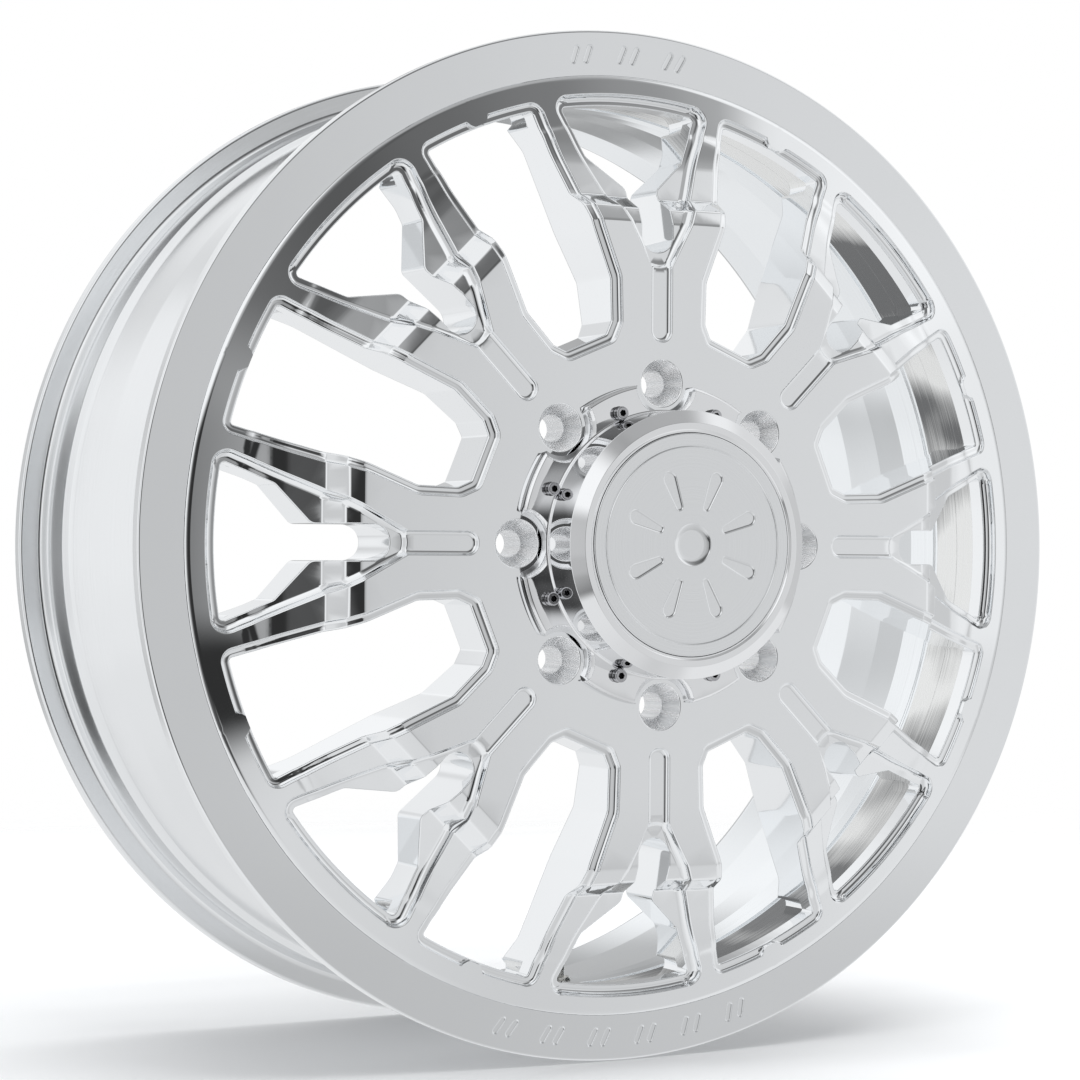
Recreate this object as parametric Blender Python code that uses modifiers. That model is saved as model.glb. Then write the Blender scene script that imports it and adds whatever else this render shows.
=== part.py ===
"""Forged eight-lug truck wheel rim, 24 x 8.25 inch, with bolt-on centre cap and tyre valve.

The wheel is drawn lying on its back in its own frame: the local Z axis is the axle and
points out of the face, and local Z = 0 is the flat front face of the outer lip. The
"wheel_frame" empty stands it up, so that in the world the axle is the Y axis, the face
looks along -Y and the origin is the middle of the wheel's bounding box.
"""
import math

import bmesh
import bpy
from mathutils import Matrix

MM = 0.001
GAP = 0.3 * MM

# Rim: a 24 inch, 8.25 inch wide J-flange rim
LIP_INNER_RADIUS = 296.0 * MM
RIM_DEPTH = 234.0 * MM
WALL_STEPS = 64

# Forged centre
SPOKES = 8
HUB_FACE = 45.0 * MM
HUB_PAD = 10.0 * MM
HUB_PAD_RADIUS = 123.0 * MM
BORE_RADIUS = 71.12 * MM
RING_DEPTH = 40.0 * MM
RING_BACK_FLAT = 6.0 * MM
FLAT_END = 198.8 * MM
STEP_END = 216.6 * MM
STEP_FOOT = 27.0 * MM
WINDOW_RADIUS = 283.5 * MM
SLOPE_END = 281.0 * MM
SLOPE_FOOT = 2.6 * MM
PITCH_ANGLE = 2 * math.pi / SPOKES

# Wheel studs: eight on a 200 mm circle, conical seats
LUG_CIRCLE_RADIUS = 100.0 * MM
LUG_HOLE_RADIUS = 8.4 * MM
LUG_SEAT_RADIUS = 15.0 * MM
LUG_SEAT_DEPTH = 11.4 * MM

# Centre cap
CAP_FACE = 84.0 * MM
CAP_WALL_RADIUS = 82.0 * MM
CAP_FACE_RADIUS = 74.0 * MM
CAP_CHAMFER_DROP = 5.0 * MM
CAP_FLANGE_TOP = 51.0 * MM
CAP_FLANGE_RADIUS = 92.5 * MM
CAP_SKIRT_RADIUS = 100.0 * MM
CAP_SCALLOP_RADIUS = 17.3 * MM
CAP_ROOF = 6.0 * MM
BADGE_RADIUS = 68.0 * MM
BADGE_THICKNESS = 3.0 * MM
SCREW_CIRCLE_RADIUS = 86.8 * MM
SCREW_HEAD_RADIUS = 4.1 * MM
SCREW_HEAD_HEIGHT = 4.6 * MM
SCREW_SHANK_RADIUS = 2.5 * MM
SCREW_LENGTH = 14.0 * MM

# Tyre valve, in the bottom of the drop centre
VALVE_X = -12.0 * MM
VALVE_DEPTH = 64.0 * MM
VALVE_SEAT_RADIUS = 290.3 * MM
VALVE_WALL = 4.0 * MM
VALVE_HOLE_RADIUS = 5.75 * MM
VALVE_SPOT_RADIUS = 11.0 * MM
VALVE_LENGTH = 36.0 * MM
SPRING_TURNS = 4

ORIGIN_DEPTH = (RIM_DEPTH - CAP_FACE) / 2


def clear_scene():
    for item in list(bpy.data.objects):
        bpy.data.objects.remove(item, do_unlink=True)


def new_collection(name):
    collection = bpy.data.collections.new(name)
    bpy.context.scene.collection.children.link(collection)
    return collection


def new_material(name, color, metallic, roughness):
    material = bpy.data.materials.new(name)
    material.use_nodes = True
    shader = material.node_tree.nodes["Principled BSDF"]
    shader.inputs["Base Color"].default_value = (*color, 1.0)
    shader.inputs["Metallic"].default_value = metallic
    shader.inputs["Roughness"].default_value = roughness
    return material


def add_object(name, mesh, collection, parent, material=None):
    item = bpy.data.objects.new(name, mesh)
    collection.objects.link(item)
    item.parent = parent
    if material:
        mesh.materials.append(material)
        mesh.shade_smooth()
        mesh.set_sharp_from_angle(angle=math.radians(30))
    else:
        item.hide_render = True
        item.display_type = "WIRE"
    return item


def turned_mesh(outline, steps=WALL_STEPS, closed=True):
    """An outline of (radius, height) points turned about Z.

    A closed outline runs down the outer side of a ring and up its inner side. An open one
    runs from the axis at the top, down the outer side, and back to the axis.
    """
    mesh = bpy.data.meshes.new("outline")
    count = len(outline)
    points = [(radius, 0, height) for radius, height in outline]
    last = count if closed else count - 1
    mesh.from_pydata(points, [(i, (i + 1) % count) for i in range(last)], [])
    helper = bpy.data.objects.new("turning", mesh)
    bpy.context.scene.collection.objects.link(helper)
    screw = helper.modifiers.new("turn", "SCREW")
    screw.axis = "Z"
    screw.steps = steps
    screw.render_steps = steps
    screw.use_merge_vertices = True
    screw.merge_threshold = 0.00001
    return evaluated_mesh(helper)


def solid_turned_mesh(outline, steps=WALL_STEPS):
    """An open outline that starts and ends on the axis, turned into a solid."""
    return turned_mesh(outline, steps, False)


def plate_mesh(outline, low, high):
    """A flat outline of (x, y) points, extruded from height low to height high."""
    curve = bpy.data.curves.new("plate", "CURVE")
    curve.dimensions = "2D"
    curve.fill_mode = "BOTH"
    curve.extrude = (high - low) / 2
    spline = curve.splines.new("POLY")
    spline.points.add(len(outline) - 1)
    for point, (x, y) in zip(spline.points, outline):
        point.co = (x, y, 0, 1)
    spline.use_cyclic_u = True
    helper = bpy.data.objects.new("plate", curve)
    bpy.context.scene.collection.objects.link(helper)
    mesh = evaluated_mesh(helper)
    mesh.transform(Matrix.Translation((0, 0, (low + high) / 2)))
    return mesh


def evaluated_mesh(helper):
    """The helper object's finished mesh, welded; the helper itself is removed."""
    graph = bpy.context.evaluated_depsgraph_get()
    mesh = bpy.data.meshes.new_from_object(helper.evaluated_get(graph))
    bpy.data.objects.remove(helper, do_unlink=True)
    work = bmesh.new()
    work.from_mesh(mesh)
    bmesh.ops.remove_doubles(work, verts=work.verts, dist=0.00001)
    bmesh.ops.recalc_face_normals(work, faces=work.faces)
    work.to_mesh(mesh)
    work.free()
    return mesh


def repeated_mesh(mesh, count, first_angle=0.0, offset=0.0):
    """Copies of a mesh moved out along X by offset and spaced evenly about Z."""
    work = bmesh.new()
    for index in range(count):
        copy = mesh.copy()
        angle = first_angle + index * 2 * math.pi / count
        copy.transform(Matrix.Rotation(angle, 4, "Z") @ Matrix.Translation((offset, 0, 0)))
        work.from_mesh(copy)
        bpy.data.meshes.remove(copy)
    result = bpy.data.meshes.new("repeated")
    work.to_mesh(result)
    work.free()
    return result


def cut(item, cutter, solver="EXACT"):
    """MANIFOLD is for the later cuts, where EXACT leaves edges shared by extra faces."""
    modifier = item.modifiers.new("cut_" + cutter.name, "BOOLEAN")
    modifier.operation = "DIFFERENCE"
    modifier.solver = solver
    modifier.object = cutter


def mirrored(points):
    """A half outline on the +Y side, completed with its mirror image below the X axis."""
    return points + [(x, -y) for x, y in reversed(points)]


def arc(radius, first, last, count, center=(0.0, 0.0)):
    """Points on an arc; the angles are in degrees."""
    points = []
    for index in range(count):
        angle = math.radians(first + (last - first) * index / (count - 1))
        points.append((center[0] + radius * math.cos(angle), center[1] + radius * math.sin(angle)))
    return points


def window_outline():
    """The large window between two spokes, about the X axis."""
    half = [
        (127.0 * MM, 17.0 * MM),
        (130.5 * MM, 24.0 * MM),
        (136.0 * MM, 27.0 * MM),
        (163.4 * MM, 37.4 * MM),
        (197.7 * MM, 38.1 * MM),
        (266.0 * MM, 44.6 * MM),
        (273.5 * MM, 43.5 * MM),
    ]
    rim_edge = arc(WINDOW_RADIUS, 7.6, 0.9, 4)
    tooth = [(WINDOW_RADIUS - 2.5 * MM, 2.0 * MM)]
    return mirrored(half + rim_edge + tooth)


def fork_throat_outline():
    """The window in a spoke's fork: a slot between the webs that flares to the rim."""
    half_width = 11.7 * MM
    round_end = arc(half_width, 180, 90, 5, (180.9 * MM + half_width, 0.0))
    half = round_end + [
        (229.3 * MM, half_width),
        (244.0 * MM, 33.0 * MM),
        (262.0 * MM, 42.5 * MM),
        (271.0 * MM, 45.0 * MM),
        (276.5 * MM, 42.5 * MM),
    ]
    rim_edge = arc(WINDOW_RADIUS - 2.0 * MM, 7.4, 1.4, 4)
    return mirrored(half + rim_edge)[1:]


def stepped_face_outline():
    """Side view of the space above a spoke: steep step, long slope, then clear of the ring."""
    far = 330.0 * MM
    high = 80.0 * MM
    step_slope = (HUB_FACE - STEP_FOOT) / (STEP_END - FLAT_END)
    return [
        (far, high),
        (far, SLOPE_FOOT + 1.0 * MM),
        (SLOPE_END, SLOPE_FOOT + 1.0 * MM),
        (STEP_END, STEP_FOOT),
        (STEP_END - (high - STEP_FOOT) / step_slope, high),
    ]


def spoke_face_mesh():
    """Eight-sided cutter that gives every spoke its flat step and slope."""
    corner = 1 / math.cos(PITCH_ANGLE / 2)
    outline = [(x * corner, z) for x, z in stepped_face_outline()]
    mesh = turned_mesh(outline, SPOKES)
    mesh.transform(Matrix.Rotation(PITCH_ANGLE / 2, 4, "Z"))
    return mesh


def build_center(parts, cutters, frame, material):
    ring_radius = LIP_INNER_RADIUS
    profile = [
        (BORE_RADIUS + 1.5 * MM, HUB_FACE),
        (FLAT_END + 14.0 * MM, HUB_FACE),
        (WINDOW_RADIUS + 0.8 * MM, SLOPE_FOOT),
        (ring_radius, 0.0),
        (ring_radius, -RING_DEPTH),
        (WINDOW_RADIUS - RING_BACK_FLAT, -RING_DEPTH),
        (WINDOW_RADIUS - 24.0 * MM, -26.0 * MM),
        (HUB_PAD_RADIUS + 8.0 * MM, HUB_PAD - 6.0 * MM),
        (HUB_PAD_RADIUS, HUB_PAD),
        (BORE_RADIUS + 1.5 * MM, HUB_PAD),
        (BORE_RADIUS, HUB_PAD + 1.5 * MM),
        (BORE_RADIUS, HUB_FACE - 1.5 * MM),
    ]
    center = add_object("forged_center", turned_mesh(profile), parts, frame, material)

    face = add_object("spoke_face_cutter", spoke_face_mesh(), cutters, frame)
    cut(center, face)

    windows = plate_mesh(window_outline(), -60 * MM, 70 * MM)
    window_ring = repeated_mesh(windows, SPOKES, PITCH_ANGLE / 2)
    cut(center, add_object("window_cutter", window_ring, cutters, frame))

    throats = plate_mesh(fork_throat_outline(), -61 * MM, 71 * MM)
    throat_ring = add_object("fork_cutter", repeated_mesh(throats, SPOKES), cutters, frame)
    cut(center, throat_ring, "MANIFOLD")

    groove_end = arc(7.75 * MM, 180, 90, 4, (132.75 * MM, 0.0))
    groove = mirrored(groove_end + [(176.0 * MM, 7.75 * MM)])[1:]
    grooves = plate_mesh(groove, HUB_FACE - 3.0 * MM, HUB_FACE + 10 * MM)
    groove_ring = add_object("groove_cutter", repeated_mesh(grooves, SPOKES), cutters, frame)
    cut(center, groove_ring, "MANIFOLD")

    seat_slope = (LUG_SEAT_RADIUS - LUG_HOLE_RADIUS) / LUG_SEAT_DEPTH
    over = 5.0 * MM
    seat = [
        (0, HUB_FACE + over),
        (LUG_SEAT_RADIUS + over * seat_slope, HUB_FACE + over),
        (LUG_HOLE_RADIUS, HUB_FACE - LUG_SEAT_DEPTH),
        (LUG_HOLE_RADIUS, HUB_PAD - over),
        (0, HUB_PAD - over),
    ]
    seats = repeated_mesh(solid_turned_mesh(seat, 16), SPOKES, 0.0, LUG_CIRCLE_RADIUS)
    cut(center, add_object("lug_seat_cutter", seats, cutters, frame), "MANIFOLD")

    tapped = [
        (0, HUB_FACE + over),
        (SCREW_SHANK_RADIUS + GAP, HUB_FACE + over),
        (SCREW_SHANK_RADIUS + GAP, HUB_FACE - 11 * MM),
        (0, HUB_FACE - 13 * MM),
    ]
    holes = solid_turned_mesh(tapped, 12)
    hole_ring = repeated_mesh(holes, SPOKES, PITCH_ANGLE / 2, SCREW_CIRCLE_RADIUS)
    cut(center, add_object("cap_screw_hole_cutter", hole_ring, cutters, frame), "MANIFOLD")


def build_barrel(parts, cutters, frame, material):
    mm_points = [
        (LIP_INNER_RADIUS / MM + 0.3, 0.0), (323.3, 0.0), (324.7, 1.4), (324.7, 9.0),
        (321.5, 12.4), (311.5, 13.0), (307.6, 17.0), (305.6, 34.0), (306.8, 37.0),
        (304.6, 41.0), (291.5, 52.0), (291.5, 92.0), (299.0, 140.0), (303.4, 184.0),
        (306.8, 191.0), (305.6, 196.0), (307.6, 217.0), (311.5, 221.0), (321.5, 221.6),
        (324.7, 225.0), (324.7, 232.0), (322.7, 234.0), (302.0, 234.0), (299.8, 231.0),
        (298.6, 188.0), (293.6, 140.0), (285.5, 96.0), (285.5, 49.0), (290.5, 43.0),
        (LIP_INNER_RADIUS / MM + 0.3, RING_DEPTH / MM + 0.3),
    ]
    profile = [(radius * MM, -depth * MM) for radius, depth in mm_points]
    barrel = add_object("rim_barrel", turned_mesh(profile), parts, frame, material)
    hole = [
        (0, 20 * MM),
        (VALVE_SPOT_RADIUS, 20 * MM),
        (VALVE_SPOT_RADIUS, VALVE_WALL),
        (VALVE_HOLE_RADIUS, VALVE_WALL),
        (VALVE_HOLE_RADIUS, 0),
        (VALVE_SPOT_RADIUS, 0),
        (VALVE_SPOT_RADIUS, -12 * MM),
        (0, -12 * MM),
    ]
    mesh = solid_turned_mesh(hole, 24)
    mesh.transform(valve_matrix())
    cut(barrel, add_object("valve_hole_cutter", mesh, cutters, frame))


def valve_matrix():
    """Places the valve: its own Z axis runs from the tyre side straight up to the axle."""
    turn = Matrix.Rotation(math.radians(-90), 4, "X")
    place = Matrix.Translation((VALVE_X, -VALVE_SEAT_RADIUS, -VALVE_DEPTH))
    return place @ turn


def build_cap(parts, cutters, frame, materials):
    cap_inner = 76.0 * MM
    spigot = BORE_RADIUS - GAP
    base = HUB_FACE + GAP
    profile = [
        (CAP_FACE_RADIUS, CAP_FACE),
        (CAP_WALL_RADIUS, CAP_FACE - CAP_CHAMFER_DROP),
        (CAP_WALL_RADIUS, CAP_FLANGE_TOP),
        (CAP_FLANGE_RADIUS, CAP_FLANGE_TOP),
        (CAP_SKIRT_RADIUS, base + 1.0 * MM),
        (CAP_SKIRT_RADIUS, base),
        (81.0 * MM, base),
        (81.0 * MM, base + 2.4 * MM),
        (77.0 * MM, base + 2.4 * MM),
        (77.0 * MM, base),
        (spigot, base),
        (spigot, base - 6.0 * MM),
        (spigot - 4.0 * MM, base - 6.0 * MM),
        (spigot - 4.0 * MM, base + 4.0 * MM),
        (cap_inner, base + 11.0 * MM),
        (cap_inner, CAP_FACE - CAP_ROOF - 2.0 * MM),
        (cap_inner - 6.0 * MM, CAP_FACE - CAP_ROOF - 3.0 * MM),
        (0, CAP_FACE - CAP_ROOF - 3.0 * MM),
    ]
    recess = [
        (0, CAP_FACE - BADGE_THICKNESS - GAP),
        (BADGE_RADIUS + GAP, CAP_FACE - BADGE_THICKNESS - GAP),
        (BADGE_RADIUS + GAP, CAP_FACE),
    ]
    mesh = solid_turned_mesh(recess + profile)
    cap = add_object("center_cap", mesh, parts, frame, materials["polished"])

    scallop = solid_turned_mesh([
        (0, CAP_FLANGE_TOP + 4 * MM),
        (CAP_SCALLOP_RADIUS + 8 * MM, CAP_FLANGE_TOP + 4 * MM),
        (CAP_SCALLOP_RADIUS, base),
        (CAP_SCALLOP_RADIUS, base - 3 * MM),
        (0, base - 3 * MM),
    ], 24)
    scallops = repeated_mesh(scallop, SPOKES, 0.0, LUG_CIRCLE_RADIUS)
    cut(cap, add_object("scallop_cutter", scallops, cutters, frame))

    hole = solid_turned_mesh([
        (0, CAP_FLANGE_TOP + 3 * MM),
        (SCREW_SHANK_RADIUS + GAP, CAP_FLANGE_TOP + 3 * MM),
        (SCREW_SHANK_RADIUS + GAP, base - 3 * MM),
        (0, base - 3 * MM),
    ], 12)
    holes = repeated_mesh(hole, SPOKES, PITCH_ANGLE / 2, SCREW_CIRCLE_RADIUS)
    cut(cap, add_object("cap_hole_cutter", holes, cutters, frame))

    badge = solid_turned_mesh([
        (0, CAP_FACE),
        (BADGE_RADIUS - 1 * MM, CAP_FACE),
        (BADGE_RADIUS, CAP_FACE - 1 * MM),
        (BADGE_RADIUS, CAP_FACE - BADGE_THICKNESS),
        (0, CAP_FACE - BADGE_THICKNESS),
    ])
    add_object("cap_badge_disc", badge, parts, frame, materials["satin"])

    seal = turned_mesh([
        (80.7 * MM, base + 2.1 * MM),
        (80.7 * MM, base - 0.1 * MM),
        (77.3 * MM, base - 0.1 * MM),
        (77.3 * MM, base + 2.1 * MM),
    ])
    add_object("cap_seal_ring", seal, parts, frame, materials["rubber"])


def build_cap_screws(parts, cutters, frame, material):
    """Eight socket-head screws, midway between the lug holes."""
    top = SCREW_HEAD_HEIGHT
    screw_outline = [
        (0, top),
        (SCREW_HEAD_RADIUS - 0.6 * MM, top),
        (SCREW_HEAD_RADIUS, top - 0.6 * MM),
        (SCREW_HEAD_RADIUS, 0),
        (SCREW_SHANK_RADIUS, 0),
        (SCREW_SHANK_RADIUS, -SCREW_LENGTH + 0.8 * MM),
        (SCREW_SHANK_RADIUS - 0.8 * MM, -SCREW_LENGTH),
        (0, -SCREW_LENGTH),
    ]
    socket = plate_mesh(arc(2.3 * MM, 0, 300, 6), top - 2.6 * MM, top + 1 * MM)
    for index in range(SPOKES):
        name = f"cap_screw_{index + 1}"
        angle = (index + 0.5) * PITCH_ANGLE
        screw = add_object(name, solid_turned_mesh(screw_outline, 12), parts, frame, material)
        screw.location = (
            SCREW_CIRCLE_RADIUS * math.cos(angle),
            SCREW_CIRCLE_RADIUS * math.sin(angle),
            CAP_FLANGE_TOP + GAP,
        )
        key = add_object(name + "_socket_cutter", socket.copy(), cutters, frame)
        key.location = screw.location
        cut(screw, key)


def build_valve(parts, cutters, frame, materials):
    """Clamp-in tyre valve; each piece is turned about the valve's own Z axis."""
    stem_radius = 4.0 * MM
    tip_radius = 3.85 * MM
    bore = 2.6 * MM
    core_radius = bore - GAP
    core_top = VALVE_LENGTH - 2.0 * MM
    core_low = core_top - 14.0 * MM

    valve = bpy.data.objects.new("valve_frame", None)
    parts.objects.link(valve)
    valve.parent = frame
    valve.matrix_basis = valve_matrix()

    def piece(name, outline, material, steps=20, solid=False):
        make = solid_turned_mesh if solid else turned_mesh
        mesh = make([(radius * MM, height * MM) for radius, height in outline], steps)
        return add_object(name, mesh, parts, valve, materials[material])

    stem_mm = stem_radius / MM
    tip_mm = tip_radius / MM
    wall = VALVE_WALL / MM
    length = VALVE_LENGTH / MM
    piece("valve_stem", [
        (tip_mm - 0.5, length), (tip_mm, length - 0.5), (tip_mm, length - 10), (stem_mm, length - 11),
        (stem_mm, -2.6), (8.6, -2.6), (9.2, -3.2), (9.2, -4.6), (8.6, -5.2), (2.0, -5.2),
        (2.0, 15.0), (bore / MM, 16.0), (bore / MM, length),
    ], "nickel")
    piece("valve_grommet", [
        (5.45, wall - 0.3), (5.45, -0.3), (8.4, -0.3), (8.8, -0.8), (8.8, -2.3), (4.3, -2.3),
        (4.3, wall - 0.3),
    ], "rubber")
    piece("valve_washer", [
        (8.5, wall + 1.5), (8.5, wall + 0.3), (4.3, wall + 0.3), (4.3, wall + 1.5),
    ], "nickel")

    nut = add_object("valve_nut", turned_mesh([
        (8.08 * MM, (wall + 6.8) * MM),
        (8.08 * MM, (wall + 1.8) * MM),
        (4.3 * MM, (wall + 1.8) * MM),
        (4.3 * MM, (wall + 6.8) * MM),
    ], 24), parts, valve, materials["nickel"])
    hexagon = plate_mesh(arc(15.0 * MM, 0, 300, 6), 0, 20 * MM)
    hexagon_hole = add_object("valve_nut_blank", hexagon, cutters, valve)
    inner = plate_mesh(arc(8.08 * MM, 0, 300, 6), -2 * MM, 22 * MM)
    cut(hexagon_hole, add_object("valve_nut_hexagon", inner, cutters, valve))
    cut(nut, hexagon_hole)

    piece("valve_core_body", [
        (core_radius / MM, core_top / MM), (core_radius / MM, core_low / MM),
        (1.0, core_low / MM), (1.0, core_low / MM + 2.0), (1.7, core_low / MM + 2.0),
        (1.7, core_top / MM),
    ], "brass", 16)
    piece("valve_core_pin", [
        (0, length - 0.8), (0.55, length - 0.8), (0.55, length - 3.6), (1.35, length - 3.6),
        (1.35, length - 4.6), (0.55, length - 4.6), (0.55, core_low / MM - 0.3),
        (1.7, core_low / MM - 0.3), (1.7, core_low / MM - 1.8), (0, core_low / MM - 2.4),
    ], "brass", 12, True)

    wire = 0.17 * MM
    low = core_low + 2.0 * MM + GAP + wire
    high = VALVE_LENGTH - 4.6 * MM - GAP - wire
    curve = bpy.data.curves.new("spring", "CURVE")
    curve.dimensions = "3D"
    curve.bevel_depth = wire
    curve.bevel_resolution = 1
    curve.use_fill_caps = True
    spline = curve.splines.new("POLY")
    per_turn = 8
    total = SPRING_TURNS * per_turn
    spline.points.add(total)
    for index in range(total + 1):
        angle = 2 * math.pi * index / per_turn
        height = low + (high - low) * index / total
        spline.points[index].co = (1.12 * MM * math.cos(angle), 1.12 * MM * math.sin(angle), height, 1)
    helper = bpy.data.objects.new("spring", curve)
    bpy.context.scene.collection.objects.link(helper)
    add_object("valve_core_spring", evaluated_mesh(helper), parts, valve, materials["steel"])

    piece("valve_cap", [
        (0, length + 3.2), (4.6, length + 3.2), (5.3, length + 2.5), (5.3, length - 8.6),
        (4.2, length - 8.6), (4.2, length + 1.4), (0, length + 1.4),
    ], "nickel", 16, True)
    piece("valve_cap_seal", [
        (0, length + 1.1), (3.9, length + 1.1), (3.9, length + 0.3), (0, length + 0.3),
    ], "rubber", 16, True)


def main():
    clear_scene()
    parts = new_collection("forged_wheel_rim")
    cutters = new_collection("cutters")
    frame = bpy.data.objects.new("wheel_frame", None)
    parts.objects.link(frame)
    frame.location = (0, -ORIGIN_DEPTH, 0)
    frame.rotation_euler = (math.radians(90), 0, 0)

    materials = {
        "polished": new_material("polished_forging", (0.86, 0.87, 0.88), 1.0, 0.06),
        "barrel": new_material("polished_barrel", (0.80, 0.81, 0.82), 1.0, 0.08),
        "satin": new_material("brushed_badge", (0.75, 0.76, 0.77), 1.0, 0.25),
        "steel": new_material("black_oxide_steel", (0.25, 0.25, 0.27), 1.0, 0.3),
        "nickel": new_material("nickel_plate", (0.70, 0.69, 0.66), 1.0, 0.2),
        "brass": new_material("valve_brass", (0.78, 0.60, 0.28), 1.0, 0.25),
        "rubber": new_material("valve_rubber", (0.02, 0.02, 0.02), 0.0, 0.7),
    }
    build_barrel(parts, cutters, frame, materials["barrel"])
    build_center(parts, cutters, frame, materials["polished"])
    build_cap(parts, cutters, frame, materials)
    build_cap_screws(parts, cutters, frame, materials["steel"])
    build_valve(parts, cutters, frame, materials)


main()
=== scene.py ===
import math

import bmesh
import bpy
import numpy as np
from mathutils import Matrix, Vector
from mathutils.geometry import delaunay_2d_cdt
from mathutils.kdtree import KDTree


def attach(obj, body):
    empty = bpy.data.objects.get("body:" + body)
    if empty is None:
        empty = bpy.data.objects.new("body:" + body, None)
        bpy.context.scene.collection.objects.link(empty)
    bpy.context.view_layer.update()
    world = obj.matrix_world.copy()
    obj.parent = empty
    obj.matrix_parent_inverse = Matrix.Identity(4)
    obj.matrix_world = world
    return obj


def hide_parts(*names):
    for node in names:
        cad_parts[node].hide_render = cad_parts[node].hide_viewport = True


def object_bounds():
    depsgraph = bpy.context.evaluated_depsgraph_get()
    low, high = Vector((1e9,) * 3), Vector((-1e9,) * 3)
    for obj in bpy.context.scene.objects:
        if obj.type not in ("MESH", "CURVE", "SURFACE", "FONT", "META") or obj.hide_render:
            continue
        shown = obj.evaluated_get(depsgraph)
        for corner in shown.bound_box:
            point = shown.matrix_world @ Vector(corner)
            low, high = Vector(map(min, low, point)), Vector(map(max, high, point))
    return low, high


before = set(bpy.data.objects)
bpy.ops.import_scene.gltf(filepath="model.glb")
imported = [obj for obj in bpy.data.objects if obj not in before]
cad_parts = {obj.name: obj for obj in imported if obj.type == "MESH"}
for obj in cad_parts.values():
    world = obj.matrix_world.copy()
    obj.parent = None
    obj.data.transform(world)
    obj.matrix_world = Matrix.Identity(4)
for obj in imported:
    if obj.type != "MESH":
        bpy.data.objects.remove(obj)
cad_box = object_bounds()

# The wheel is modelled lying on its back, in millimetres: Z is the axle, Z = 0 the lip's face.
STAND = (
    Matrix.Translation((0, -0.075, 0))
    @ Matrix.Rotation(math.radians(90), 4, "X")
    @ Matrix.Scale(0.001, 4)
)
SPOKES = 8
PITCH = 2 * math.pi / SPOKES
HALF_PITCH = PITCH / 2
HUB_FACE = 45.0  # heights and radii of the forging
HUB_PAD = 10.0
BORE = 71.12
BORE_EDGE = 73.0
LIP_INNER = 296.0
LUG_CIRCLE = 100.0
SEAT_RADIUS = 15.2
SCREW_CIRCLE = 86.8  # heights and radii of the centre cap
CAP_BASE = 45.3
FLANGE_TOP = 51.0
BADGE_TOP = 83.98
AROUND = 240  # points in a large circle


# ---------------- outlines

def rounded(corners, closed=True, turn=7.0, longest=1e9):
    """A polyline through (x, y, radius) corners, each rounded to its radius."""
    points = []
    count = len(corners)
    for i, (x, y, radius) in enumerate(corners):
        here = np.array((x, y), float)
        if radius == 0 or (not closed and i in (0, count - 1)):
            points.append(here)
            continue
        u = np.array(corners[i - 1][:2], float) - here
        v = np.array(corners[(i + 1) % count][:2], float) - here
        u, v = u / np.linalg.norm(u), v / np.linalg.norm(v)
        bend = math.pi - math.acos(np.clip(u @ v, -1, 1))
        if bend < 0.01:
            points.append(here)
            continue
        reach = radius * math.tan(bend / 2)
        middle = here + (u + v) / np.linalg.norm(u + v) * radius / math.cos(bend / 2)
        start, end = here + u * reach - middle, here + v * reach - middle
        first = math.atan2(start[1], start[0])
        sweep = (math.atan2(end[1], end[0]) - first + math.pi) % (2 * math.pi) - math.pi
        steps = max(2, math.ceil(abs(sweep) / math.radians(turn)))
        for k in range(steps + 1):
            angle = first + sweep * k / steps
            points.append(middle + radius * np.array((math.cos(angle), math.sin(angle))))
    return split_long(points, longest, closed)


def split_long(points, longest, closed):
    result = []
    count = len(points)
    for i in range(count if closed else count - 1):
        a, b = points[i], points[(i + 1) % count]
        parts = max(1, math.ceil(np.linalg.norm(b - a) / longest))
        result += [a + (b - a) * k / parts for k in range(parts)]
    if not closed:
        result.append(points[-1])
    return np.array(result)


def crossed(loop, measure, values):
    """The loop with a point added wherever measure(point) passes one of the values."""
    result = []
    for i in range(len(loop)):
        a, b = loop[i], loop[(i + 1) % len(loop)]
        result.append(a)
        low, high = measure(a), measure(b)
        cuts = [(v - low) / (high - low) for v in values if (v - low) * (v - high) < 0]
        result += [a + (b - a) * k for k in sorted(cuts) if 0.02 < k < 0.98]
    return np.array(result)


def area(loop):
    x, y = loop[:, 0], loop[:, 1]
    return 0.5 * float(np.sum(x * np.roll(y, -1) - np.roll(x, -1) * y))


def inward(loop):
    """For each point of an anticlockwise loop, the step that moves its edges in by one."""
    ahead = np.roll(loop, -1, 0) - loop
    ahead /= np.linalg.norm(ahead, axis=1)[:, None]
    left = np.stack((-ahead[:, 1], ahead[:, 0]), 1)
    middle = left + np.roll(left, 1, 0)
    middle /= np.linalg.norm(middle, axis=1)[:, None]
    return middle / np.maximum(0.5, np.sum(middle * left, 1))[:, None]


def turned_by(points, angle):
    c, s = math.cos(angle), math.sin(angle)
    points = np.array(points, float)
    result = points.copy()
    result[:, 0] = c * points[:, 0] - s * points[:, 1]
    result[:, 1] = s * points[:, 0] + c * points[:, 1]
    return result


def polar(radius, angles):
    return np.stack((radius * np.cos(angles), radius * np.sin(angles)), 1)


def angles_round(steps):
    return np.arange(steps) * 2 * math.pi / steps


def circle(radius, steps, centre=(0.0, 0.0), first=0.0):
    return np.array(centre) + polar(radius, first + angles_round(steps))


def raised(points, height):
    """Flat points lifted to one height, or each to its own."""
    return np.column_stack((points, np.broadcast_to(height, len(points))))


def level(height):
    """A height function that is the same everywhere."""
    return lambda x, y: np.full(len(x), height)


def upright(points):
    """Normals that all look straight up."""
    return np.tile((0.0, 0.0, 1.0), (len(points), 1))


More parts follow.
